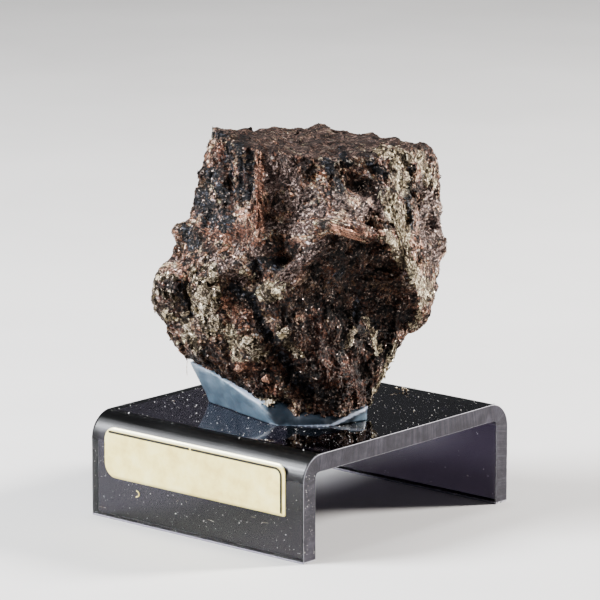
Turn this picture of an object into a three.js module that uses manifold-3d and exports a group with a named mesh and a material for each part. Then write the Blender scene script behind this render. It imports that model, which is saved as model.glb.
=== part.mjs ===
// A chalcopyrite specimen on its display stand, in millimetres, +Z up.
//
// Four pieces: a clear smoke acrylic stand bent into a low bridge, a foil name label on its
// front, a pad of mounting putty on its top, and the rough stone that the putty holds.
// The origin is the centre of the stand's footprint; the label faces -Y.
import * as THREE from 'three';
import { ConvexHull } from 'three/addons/math/ConvexHull.js';
import { ImprovedNoise } from 'three/addons/math/ImprovedNoise.js';
import { mergeVertices } from 'three/addons/utils/BufferGeometryUtils.js';
import Module from 'manifold-3d';

const wasm = await Module();
wasm.setup();

// ---- Driving dimensions ----

const stand = {
  width: 47, // along X, between the two sawn edges
  depth: 52.5, // along Y, over both legs
  height: 17.5,
  sheet: 3, // thickness of the acrylic sheet
  bend: 4.5, // outer radius of the two heat-formed bends
  inside: 0.8, // inner radius of the bends
};

const label = {
  width: 40,
  height: 8.7,
  thickness: 0.2,
  left: -20.3, // X of its left edge
  bottom: 7.2, // Z of its lower edge
  cornerLeft: 2.4, // radius of the two left corners
  cornerRight: 1.6, // radius of the upper right corner
  cornerCut: 0.4, // radius of the lower right corner
};

const stoneTurn = THREE.MathUtils.degToRad(41); // the stone's yaw on the stand
const puttyGap = 0.3; // clearance between the stone and its putty

const colours = {
  stone: 0x4a3a33,
  acrylic: 0x24222b,
  putty: 0x6d8496,
  foil: 0xcfc492,
};

// ---- The stone's corners ----
//
// Each corner is [across, away, up] in the stone's own frame: across runs from its left end
// to its right, away runs from its broken front face to its back, and up is measured from
// the top of the stand.

const corners = {
  topFace: [
    [-15.4, 3, 47.6], [-10.8, -7, 46.2], [-6.5, -10, 45.5], [0, -11, 44.5], [5.5, -12, 44],
    [11.5, -9.5, 45], [17, -6, 44.5], [22.3, 1, 44.2], [-8, 10, 45], [-1.5, 13, 45],
    [2.5, 14, 45.5], [7.5, 14, 45], [13, 12, 44], [18.5, 8, 43.5], [4, 1, 45], [-5, 1, 45.5],
    [12, 2, 44.5],
  ],
  rightEdge: [
    [12.5, -9.5, 43.5], [16.5, -8.5, 40], [16.5, -9.5, 34.5], [17.5, -10, 30.5],
  ],
  rightEnd: [
    [23, 3, 41.5], [23.8, 3, 37.5], [23, 2, 31.5], [24.8, 2, 28.3], [23, 1, 23.5],
    [22.9, -1, 19.8], [22, -3, 16.5], [18, -3, 12.3], [16, -2, 9.8], [14.7, -3, 6.8],
    [13, -4, 4.5], [11.8, -5, 1.5],
  ],
  rightCrest: [
    [13.5, -15, 32], [16, -13, 29], [18, -10, 24.5], [19.5, -7, 20], [18.5, -4, 14.5],
    [16, -6, 12], [13, -7, 8], [11, -8, 4.5],
  ],
  ledge: [
    [-6.5, -15.5, 30.5], [-2, -16.5, 31.5], [2.5, -17, 33], [5.5, -17.5, 34.5],
    [8.5, -18, 33.5], [12.5, -16, 32],
  ],
  upperFront: [
    [-6.8, -13, 41], [-6.8, -14.2, 36], [0, -13, 37.5], [5.5, -14.5, 39], [9, -10.2, 40],
    [12.5, -13.5, 37], [4.5, -16, 36], [-2.5, -14, 33], [-3.5, -11.5, 41],
  ],
  leftFace: [
    [-11.2, -6.6, 40], [-12, -9, 34.5], [-8.8, -7.6, 40], [-16.2, 2, 41.5], [-17.5, 2, 36],
    [-18.7, 1, 32], [-20.6, 0, 30.8], [-14, -9, 31], [-10, -13.8, 27.5],
  ],
  leftEnd: [
    [-20.2, -1, 28], [-20.3, -2, 25.8], [-23.4, -2, 23.8], [-25.6, -2, 21], [-25.5, -2, 18],
    [-23, -1, 14.5], [-21.5, 1, 10], [-19, 3, 7],
  ],
  leftLumps: [
    [-20, -7.5, 22.5], [-15.5, -11.5, 23.5], [-14.5, -12, 16.5], [-9, -14, 14.5],
    [-2.5, -15.5, 16], [-5.5, -15, 23], [-18.5, -6, 13.5], [-15, -8, 10.5],
  ],
  hollowUnderLedge: [
    [-7, -11, 25.5], [-2.5, -11, 28], [3.5, -17, 31], [0.5, -17, 28.5], [-2.5, -16.8, 25],
  ],
  lowerFront: [
    [8, -11, 30], [13, -8.5, 26.5], [16.5, -7, 20.5], [7.5, -9.5, 23], [12, -7, 17.5],
    [3.5, -14, 22], [2.5, -14.5, 15], [7, -11, 14], [12, -7.5, 11.5], [1.5, -15, 8],
    [7, -12.5, 6.5], [10.5, -9, 6], [-6.5, -13.5, 21], [-4, -14, 14], [-1.5, -13.5, 9.5],
    [2, -13, 5],
  ],
  foot: [
    [-13, -4, 6], [-10, -7, 5], [-6.5, -10, 4], [-4, -12, 2.8], [-1.5, -13, 1.3],
    [2.5, -13.5, 0.5], [6, -13.5, 0.4], [9, -11, 0.8], [0, -6, 1], [5, -5, 1], [8, 1, 1.5],
    [-4, 0, 2], [2, 5, 2.5],
  ],
  back: [
    [-14.5, 10, 38], [-17, 10, 28], [-19.5, 8, 18], [-13, 10, 7], [-9, 16, 22],
    [-5, 16.5, 38], [-1, 19, 29], [-3, 17, 14], [1, 12.5, 6], [7, 18.5, 37], [11, 18, 27],
    [9, 15, 15], [9, 8, 5.5], [17.5, 13.5, 36], [19.5, 11, 24], [16, 7, 13],
  ],
};

const stoneCentre = new THREE.Vector3(0, 0, 24); // every corner is in plain sight of it

// ---- The stone's surface ----

const grain = { blocks: 8, chips: 4.6, grit: 2.4 }; // sizes of its broken blocks and grains
const relief = { blocks: 1.3, chips: 0.75, grit: 0.6 }; // and how strongly each stands out
const edgeLimit = { detail: 1.3, front: 2.3, back: 3.6 }; // the longest mesh edges
const backFrom = 3; // how far away from the centre the back begins
const softening = { plain: 0.35, rough: 0.3 }; // before and after the roughness is added

// Knobs of brassy ore standing out of the stone.
const knobs = [
  { at: [-21.5, -5, 21], radius: 4.2, height: 1.2 },
  { at: [-15.5, -11.5, 22.5], radius: 3.6, height: 1.3 },
  { at: [-13.5, -12, 16.5], radius: 2.4, height: 0.9 },
  { at: [-8.5, -13.5, 14.5], radius: 3.2, height: 1.4 },
  { at: [-2.5, -15, 15.5], radius: 3.0, height: 1.0 },
  { at: [-6, -14.5, 22], radius: 2.6, height: 0.8 },
  { at: [-11, -11, 9], radius: 2.6, height: 0.9 },
  { at: [-6, -11.5, 6], radius: 2.6, height: 0.8 },
  { at: [5.5, -15.5, 16.5], radius: 1.8, height: 0.7 },
];

// Cracks and pits from one point to another, with their half width and depth. A depth below
// zero stands out, as the sharp ribs of the ledge and of the two front edges do.
const grooves = [
  { from: [-18.4, -9, 27], to: [-17.8, -8.5, 18], width: 1.0, depth: 1.6 },
  { from: [-7.5, -15, 20.5], to: [-3, -14.5, 11], width: 1.3, depth: 1.3 },
  { from: [-3, -14.5, 11], to: [2, -13.5, 4], width: 1.3, depth: 1.0 },
  { from: [-9, -9.5, 43], to: [-8.5, -10.5, 37.5], width: 1.4, depth: 1.8 },
  { from: [-12.5, -4.5, 42], to: [-12, -6, 36.5], width: 1.3, depth: 1.3 },
  { from: [16.5, -8.5, 38.5], to: [18.5, -7.5, 32], width: 0.9, depth: 0.8 },
  { from: [8, -12, 41.5], to: [10.5, -12, 39.5], width: 2.2, depth: 1.2 },
  { from: [-16, -9.5, 17.5], to: [-12, -11.5, 13.5], width: 0.9, depth: 0.9 },
  { from: [-6.8, -13.5, 43], to: [-6.8, -15, 31], width: 1.7, depth: -0.8 },
  { from: [-6.5, -16, 30.5], to: [2.5, -17.5, 33], width: 1.5, depth: -0.8 },
  { from: [4, -18, 34], to: [12.5, -17, 32.5], width: 1.5, depth: -1.0 },
  { from: [14, -15, 31.5], to: [19, -8, 20.5], width: 1.6, depth: -0.9 },
  { from: [3, -17.2, 31], to: [-2.5, -17, 25], width: 1.5, depth: -0.8 },
];

const noise = new ImprovedNoise();

// Ridged noise from -0.6 to 0.4, with sharp crests a wavelength apart.
function ridges(p, wavelength) {
  const n = noise.noise(p.x / wavelength, p.y / wavelength, p.z / wavelength + 41);
  return 0.4 - Math.min(1, 2 * Math.abs(n));
}

// A direction of a cell's own, the same each time.
function directionOf(cell) {
  const { seededRandom } = THREE.MathUtils;
  seededRandom(cell.x * 7919 + cell.y * 104729 + cell.z * 1299709 + 5);
  const parts = [seededRandom(), seededRandom(), seededRandom()];
  return new THREE.Vector3(...parts).subScalar(0.5);
}

// Space broken into blocks of about a size, each with a flat of its own tilt: how high that
// flat stands at a point.
function broken(p, size) {
  const home = p.clone().divideScalar(size).floor();
  let [height, nearest] = [0, Infinity];
  for (let n = 0; n < 27; n++) {
    const step = new THREE.Vector3(n % 3, Math.floor(n / 3) % 3, Math.floor(n / 9));
    const cell = home.clone().add(step).subScalar(1);
    const tilt = directionOf(cell);
    const offset = cell.addScalar(0.5).addScaledVector(tilt, 0.8).multiplyScalar(-size).add(p);
    if (offset.length() < nearest) [height, nearest] = [tilt.dot(offset) / size, offset.length()];
  }
  return height;
}

const fromKnob = (p, { at }) => p.distanceTo(new THREE.Vector3(...at));

function fromGroove(p, { from, to }) {
  const line = new THREE.Line3(new THREE.Vector3(...from), new THREE.Vector3(...to));
  return p.distanceTo(line.closestPointToPoint(p, true, new THREE.Vector3()));
}

// How far the rough surface stands from the plain one at a point of the stone.
function roughness(p) {
  let out = relief.blocks * broken(p, grain.blocks);
  out += relief.chips * broken(p, grain.chips);
  out += relief.grit * ridges(p, grain.grit);
  for (const knob of knobs) {
    out += knob.height * Math.exp(-((fromKnob(p, knob) / knob.radius) ** 3));
  }
  for (const groove of grooves) {
    out -= groove.depth * Math.exp(-((fromGroove(p, groove) / groove.width) ** 2));
  }
  return out;
}

// The longest mesh edge allowed at a point of the stone: short where there is more to show.
function edgeLimitAt(p) {
  const byGroove = grooves.some((groove) => fromGroove(p, groove) < 1.4 * groove.width);
  const byKnob = knobs.some((knob) => fromKnob(p, knob) < knob.radius);
  if (byGroove || byKnob) return edgeLimit.detail;
  return p.y < backFrom ? edgeLimit.front : edgeLimit.back;
}

// The corners, joined as the hull of the directions that the centre sees them in.
function cornerMesh() {
  const points = Object.values(corners).flat().map((c) => new THREE.Vector3(...c));
  const seen = points.map((p) => p.clone().sub(stoneCentre).normalize());
  return { points, faces: hullFaces(seen) };
}

// The triangles of the convex hull of some points, by the points' numbers.
function hullFaces(points) {
  const numbers = new Map(points.map((p, i) => [p, i]));
  return new ConvexHull().setFromPoints(points).faces.map(({ edge }) =>
    [edge, edge.next, edge.prev].map((side) => numbers.get(side.head().point)));
}

// Splits every edge that is too long at its middle, until none is.
function refine({ points, faces }, limit) {
  for (;;) {
    const middles = new Map();
    const middle = (a, b) => {
      const key = a < b ? `${a},${b}` : `${b},${a}`;
      if (!middles.has(key)) {
        const centre = points[a].clone().add(points[b]).multiplyScalar(0.5);
        const long = points[a].distanceTo(points[b]) > limit(centre);
        middles.set(key, long ? points.push(centre) - 1 : -1);
      }
      return middles.get(key);
    };
    const before = points.length;
    const split = [];
    for (const face of faces) split.push(...splitFace(face, middle));
    faces = split;
    if (points.length === before) return { points, faces };
  }
}

function splitFace([a, b, c], middle) {
  const [ab, bc, ca] = [middle(a, b), middle(b, c), middle(c, a)];
  const count = [ab, bc, ca].filter((m) => m >= 0).length;
  if (count === 0) return [[a, b, c]];
  if (count === 3) return [[a, ab, ca], [ab, b, bc], [ca, bc, c], [ab, bc, ca]];
  // Turn the face so that its first edge is a split one, and its last edge is not.
  if (ab < 0 || ca >= 0) return splitFace([b, c, a], middle);
  if (count === 1) return [[a, ab, c], [ab, b, c]];
  return [[a, ab, c], [ab, b, bc], [ab, bc, c]];
}

// Turns an edge between two nearly level faces into their other diagonal where that is
// shorter, so that few faces are slivers.
function evenOut({ points, faces }) {
  const [shorterBy, levelBefore, levelAfter] = [0.9, 0.8, 0.7];
  const key = (a, b) => a * points.length + b;
  const faceAt = new Map();
  const enter = (number, [a, b, c]) => {
    faces[number] = [a, b, c];
    for (const edge of [key(a, b), key(b, c), key(c, a)]) faceAt.set(edge, number);
  };
  faces.forEach((face, number) => enter(number, face));
  const normal = (a, b, c) =>
    new THREE.Triangle(points[a], points[b], points[c]).getNormal(new THREE.Vector3());
  for (const number of faces.keys()) {
    for (let side = 0; side < 3; side++) {
      const [a, b, c] = [0, 1, 2].map((n) => faces[number][(n + side) % 3]);
      const other = faceAt.get(key(b, a));
      const d = faces[other].find((corner) => corner !== a && corner !== b);
      const known = faceAt.has(key(c, d)) || faceAt.has(key(d, c));
      const edge = points[a].distanceTo(points[b]);
      const shorter = points[c].distanceTo(points[d]) < shorterBy * edge;
      const level = normal(a, b, c).dot(normal(b, a, d)) > levelBefore;
      const staysLevel = normal(a, d, c).dot(normal(d, b, c)) > levelAfter;
      if (known || !shorter || !level || !staysLevel) continue;
      faceAt.delete(key(a, b));
      faceAt.delete(key(b, a));
      enter(number, [a, d, c]);
      enter(other, [d, b, c]);
    }
  }
}

// Moves each point a share of the way to the middle of its neighbours.
function soften({ points, faces }, share) {
  const neighbours = points.map(() => new Set());
  for (const [a, b, c] of faces) {
    neighbours[a].add(b).add(c);
    neighbours[b].add(c).add(a);
    neighbours[c].add(a).add(b);
  }
  const moved = points.map((p, i) => {
    const mean = new THREE.Vector3();
    for (const n of neighbours[i]) mean.add(points[n]);
    return p.clone().lerp(mean.divideScalar(neighbours[i].size), share);
  });
  moved.forEach((p, i) => points[i].copy(p));
}

function toGeometry({ points, faces }) {
  const geometry = new THREE.BufferGeometry().setFromPoints(points);
  geometry.setIndex(faces.flat());
  geometry.computeVertexNormals();
  return geometry;
}

// The rough stone, stood off from its true surface by a clearance.
function stoneGeometry(clearance) {
  const mesh = refine(cornerMesh(), edgeLimitAt);
  for (let pass = 0; pass < 4; pass++) evenOut(mesh);
  soften(mesh, softening.plain);
  const normals = toGeometry(mesh).getAttribute('normal');
  mesh.points.forEach((p, i) => {
    const normal = new THREE.Vector3().fromBufferAttribute(normals, i);
    p.addScaledVector(normal, roughness(p) + clearance);
  });
  soften(mesh, softening.rough);
  return toGeometry(mesh);
}

// ---- The putty ----

// Corners of the pressed pad, [across, away, up] as for the stone: its foot, and the crest
// where it is pressed up round the stone.
const puttyFoot = [
  [-15.5, 3.5, 0], [-4, -13.5, 0], [4, -14.5, 0], [11, -9.5, 0], [11, 1, 0], [4, 9, 0],
  [-10, 9, 0],
];
const puttyCrest = [
  [-19, 2.5, 7.5], [-14.5, -3.5, 6.5], [-11, -7.5, 5], [-8, -10, 3.5], [-5, -12.5, 1.5],
  [3.5, -14, 1.4], [10.8, -9.5, 2], [11, 0, 2.3], [4, 9, 3], [-13, 9, 6],
];

function puttyGeometry() {
  const points = [...puttyFoot, ...puttyCrest].map((c) => new THREE.Vector3(...c));
  const pad = solidOf(toGeometry({ points, faces: hullFaces(points) }));
  const hollow = pad.subtract(solidOf(stoneGeometry(puttyGap)));
  return geometryOf(largestOf(hollow));
}

// ---- Solids for cutting ----

function solidOf(geometry) {
  const bare = new THREE.BufferGeometry();
  bare.setAttribute('position', geometry.getAttribute('position'));
  bare.setIndex(geometry.index);
  const merged = mergeVertices(bare, 1e-4);
  return new wasm.Manifold(new wasm.Mesh({
    numProp: 3,
    vertProperties: new Float32Array(merged.getAttribute('position').array),
    triVerts: new Uint32Array(merged.index.array),
  }));
}

function largestOf(solid) {
  return solid.decompose().sort((a, b) => b.volume() - a.volume())[0];
}

function geometryOf(solid) {
  const { vertProperties, triVerts } = solid.getMesh();
  const geometry = new THREE.BufferGeometry();
  geometry.setAttribute('position', new THREE.BufferAttribute(vertProperties, 3));
  geometry.setIndex(new THREE.BufferAttribute(triVerts, 1));
  geometry.computeVertexNormals();
  return geometry;
}

// ---- The stand ----

// The bridge's profile, seen along X: Y across, Z up.
function bridgeProfile() {
  const { depth, height, sheet, bend, inside } = stand;
  const outer = depth / 2;
  const inner = outer - sheet;
  const ceiling = height - sheet;
  const quarter = Math.PI / 2;
  const shape = new THREE.Shape();
  shape.moveTo(inner, 0);
  shape.lineTo(outer, 0);
  shape.absarc(outer - bend, height - bend, bend, 0, quarter, false);
  shape.absarc(-outer + bend, height - bend, bend, quarter, 2 * quarter, false);
  shape.lineTo(-outer, 0);
  shape.lineTo(-inner, 0);
  shape.absarc(-inner + inside, ceiling - inside, inside, 2 * quarter, quarter, true);
  shape.absarc(inner - inside, ceiling - inside, inside, quarter, 0, true);
  shape.closePath();
  return shape;
}

function standGeometry() {
  const geometry = new THREE.ExtrudeGeometry(bridgeProfile(), {
    depth: stand.width,
    bevelEnabled: false,
    curveSegments: 10,
  });
  const [x, y, z] = [0, 1, 2].map((i) => new THREE.Vector3().setComponent(i, 1));
  geometry.applyMatrix4(new THREE.Matrix4().makeBasis(y, z, x));
  return geometry.translate(-stand.width / 2, 0, 0);
}

// ---- The label ----

function labelGeometry() {
  const { width, height, cornerLeft, cornerRight, cornerCut, thickness } = label;
  const quarter = Math.PI / 2;
  const shape = new THREE.Shape();
  shape.absarc(cornerLeft, cornerLeft, cornerLeft, 2 * quarter, 3 * quarter, false);
  shape.absarc(width - cornerCut, cornerCut, cornerCut, 3 * quarter, 4 * quarter, false);
  shape.absarc(width - cornerRight, height - cornerRight, cornerRight, 0, quarter, false);
  shape.absarc(cornerLeft, height - cornerLeft, cornerLeft, quarter, 2 * quarter, false);
  shape.closePath();
  const geometry = new THREE.ExtrudeGeometry(shape, {
    depth: thickness,
    bevelEnabled: false,
    curveSegments: 6,
  });
  return geometry.rotateX(quarter);
}

// ---- Assembly ----

function piece(name, geometry, colour, roughnessShare, metalness) {
  const material = new THREE.MeshStandardMaterial({
    color: colour,
    roughness: roughnessShare,
    metalness,
  });
  const mesh = new THREE.Mesh(geometry, material);
  mesh.name = name;
  return mesh;
}

const specimen = new THREE.Group();

specimen.add(piece('acrylic_stand', standGeometry(), colours.acrylic, 0.08, 0));

const nameLabel = piece('name_label', labelGeometry(), colours.foil, 0.35, 0.8);
nameLabel.position.set(label.left, -stand.depth / 2, label.bottom);
specimen.add(nameLabel);

const turned = new THREE.Group(); // the stone's own frame, on top of the stand
turned.position.z = stand.height;
turned.rotation.z = stoneTurn;
turned.add(piece('chalcopyrite_stone', stoneGeometry(0), colours.stone, 0.6, 0.3));
turned.add(piece('mounting_putty', puttyGeometry(), colours.putty, 0.4, 0));
specimen.add(turned);

export default specimen;
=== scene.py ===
# The looks of a chalcopyrite specimen on its smoke acrylic stand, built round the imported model.
import itertools
import math

import bmesh
import bpy
import numpy as np
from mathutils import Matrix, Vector, noise
from mathutils.kdtree import KDTree


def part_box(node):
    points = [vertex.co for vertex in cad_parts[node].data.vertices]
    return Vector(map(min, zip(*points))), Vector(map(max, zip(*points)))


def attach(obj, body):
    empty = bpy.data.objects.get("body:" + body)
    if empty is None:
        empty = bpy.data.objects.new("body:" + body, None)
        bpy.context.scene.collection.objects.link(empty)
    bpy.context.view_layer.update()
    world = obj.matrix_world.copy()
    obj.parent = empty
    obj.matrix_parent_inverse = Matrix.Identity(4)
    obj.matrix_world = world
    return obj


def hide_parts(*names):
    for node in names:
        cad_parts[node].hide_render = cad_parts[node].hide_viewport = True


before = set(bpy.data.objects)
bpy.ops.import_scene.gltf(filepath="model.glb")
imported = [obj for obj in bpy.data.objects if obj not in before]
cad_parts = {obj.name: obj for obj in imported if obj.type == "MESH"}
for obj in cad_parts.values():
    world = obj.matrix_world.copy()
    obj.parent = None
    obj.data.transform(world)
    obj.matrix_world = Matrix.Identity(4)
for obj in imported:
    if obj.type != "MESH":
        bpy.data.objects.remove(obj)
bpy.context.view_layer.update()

MM = 0.001
STAND_LOW, STAND_HIGH = (np.array(corner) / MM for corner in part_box("acrylic_stand"))
STAND_TOP = STAND_HIGH[2]
SHEET = 3.0  # thickness of the acrylic sheet
BEND_OUTSIDE = 4.5
BEND_INSIDE = 0.8
STONE_TURN = math.radians(41)  # the stone's yaw on the stand
FRONT_SEEN_FROM = math.radians(12)  # the marks on the stone's front are placed from this high


# ---- Meshes and objects ----

def linked(name, data):
    """A new object in the scene."""
    made = bpy.data.objects.new(name, data)
    bpy.context.scene.collection.objects.link(made)
    return made


def shade(mesh, smooth):
    mesh.polygons.foreach_set("use_smooth", [smooth] * len(mesh.polygons))


def mesh_object(name, points, faces, smooth=False):
    """An object made of points in millimetres and faces that name them."""
    mesh = bpy.data.meshes.new(name)
    mesh.from_pydata(np.asarray(points) * MM, [], faces)
    mesh.validate()
    shade(mesh, smooth)
    mesh.update()
    return linked(name, mesh)


def vectors_of(piece, name):
    flat = np.empty(3 * len(piece.data.vertices))
    piece.data.vertices.foreach_get(name, flat)
    return flat.reshape(-1, 3)


def surface(piece):
    """A piece's points, in millimetres, and the way that its surface faces at each."""
    return vectors_of(piece, "co") / MM, vectors_of(piece, "normal")


def move_points(piece, points):
    piece.data.vertices.foreach_set("co", (points * MM).ravel())
    piece.data.update()


def store(piece, **values):
    """Keeps numbers for each point, for the material to read."""
    for name, numbers in values.items():
        layer = piece.data.attributes.new(name, "FLOAT", "POINT")
        layer.data.foreach_set("value", np.asarray(numbers, dtype=np.float32))


def read(piece, name):
    values = np.empty(len(piece.data.vertices), dtype=np.float32)
    piece.data.attributes[name].data.foreach_get("value", values)
    return values


def rework(mesh, change, source=None):
    """Puts a mesh, or a source in its place, through a change made with bmesh."""
    work = bmesh.new()
    work.from_mesh(source or mesh)
    change(work)
    work.to_mesh(mesh)
    work.free()


def merge_corners(work):
    bmesh.ops.remove_doubles(work, verts=work.verts, dist=1e-6)


def face_outward(work):
    bmesh.ops.recalc_face_normals(work, faces=work.faces)


def keep_hull(work):
    hull = bmesh.ops.convex_hull(work, input=work.verts)
    inside = [v for v in hull["geom_interior"] + hull["geom_unused"]
              if isinstance(v, bmesh.types.BMVert)]
    bmesh.ops.delete(work, geom=inside, context="VERTS")


def merged_copy(node, name):
    """A new object with a CAD node's mesh, its corners merged."""
    mesh = bpy.data.meshes.new(name)
    rework(mesh, merge_corners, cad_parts[node].data)
    return linked(name, mesh)


def apply_modifiers(piece):
    graph = bpy.context.evaluated_depsgraph_get()
    mesh = bpy.data.meshes.new_from_object(piece.evaluated_get(graph))
    piece.modifiers.clear()
    piece.data = mesh


def voxel_remesh(piece, size):
    remesh = piece.modifiers.new("remesh", "REMESH")
    remesh.mode = "VOXEL"
    remesh.voxel_size = size * MM
    apply_modifiers(piece)


def smooth_out(piece, rounds, group=""):
    smooth = piece.modifiers.new("smooth", "SMOOTH")
    smooth.factor, smooth.iterations, smooth.vertex_group = 0.5, rounds, group
    apply_modifiers(piece)


def joined(parts):
    """Several (points, faces) as one."""
    points, faces, count = [], [], 0
    for part_points, part_faces in parts:
        points.append(np.asarray(part_points))
        faces.extend([index + count for index in face] for face in part_faces)
        count += len(part_points)
    return np.concatenate(points), faces


def finished(piece, material, node=None):
    """Gives a piece its material, and its place on the part."""
    piece.data.materials.clear()
    for each in material if isinstance(material, list) else [material]:
        piece.data.materials.append(each)
    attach(piece, "root")
    if node:
        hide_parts(node)
    return piece


# ---- Random shapes that are the same each time ----

def scatter(cells, salt):
    """Three numbers from -0.5 to 0.5 for each cell of a grid."""
    turns = np.array([[127.1, 269.5, 419.2], [311.7, 183.3, 371.9], [74.7, 246.1, 668.2]])
    value = np.sin(cells @ turns + salt) * 43758.5453
    return value - np.floor(value) - 0.5


def broken(points, size, salt):
    """Space broken into blocks of about a size, each with a flat of its own tilt: how high that
    flat stands at each point, and a number from 0 to 1 for its block."""
    grid = points / size
    home = np.floor(grid)
    nearest = np.full(len(points), np.inf)
    height = np.zeros(len(points))
    number = np.zeros(len(points))
    for offset in itertools.product((-1, 0, 1), repeat=3):
        cell = home + offset
        tilt = scatter(cell, salt)
        away = grid - (cell + 0.5 + 0.8 * tilt)
        distance = np.linalg.norm(away, axis=1)
        closer = distance < nearest
        nearest[closer] = distance[closer]
        height[closer] = (1.6 * (tilt * away).sum(1) + 0.5 * tilt[:, 0])[closer]
        number[closer] = tilt[closer, 2] + 0.5
    return height, number


def soft_noise(points, wavelength, salt=0.0):
    """Smooth noise from about -1 to 1."""
    shift = Vector((salt, 2.3 * salt, -1.7 * salt))
    return np.array([noise.noise(Vector(p) / wavelength + shift) for p in points])


def layered(points, *layers):
    """Soft noises added up, each by its height, wavelength and salt."""
    return sum(height * soft_noise(points, size, salt) for height, size, salt in layers)


# ---- The stone's own frame ----

ACROSS = np.array([math.cos(STONE_TURN), math.sin(STONE_TURN), 0])
AWAY = np.array([-math.sin(STONE_TURN), math.cos(STONE_TURN), 0])
UP = np.array([0, 0, 1.0])


def in_stone_frame(points):
    """Points as across, away and up from the middle of the stand's top."""
    return (points - STAND_TOP * UP) @ np.array([ACROSS, AWAY, UP]).T


def seen_from_front(points):
    """Where points lie across and up the stone's front, seen from a little above."""
    across, away, up = in_stone_frame(points).T
    seen_up = up * math.cos(FRONT_SEEN_FROM) + away * math.sin(FRONT_SEEN_FROM)
    return np.stack([across, seen_up], axis=1)


def facing_front(normals):
    """How far each point faces the front, from 0 to 1."""
    return np.clip(0.6 - 1.6 * (normals @ AWAY) + 0.25 * (normals @ ACROSS), 0, 1)


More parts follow.
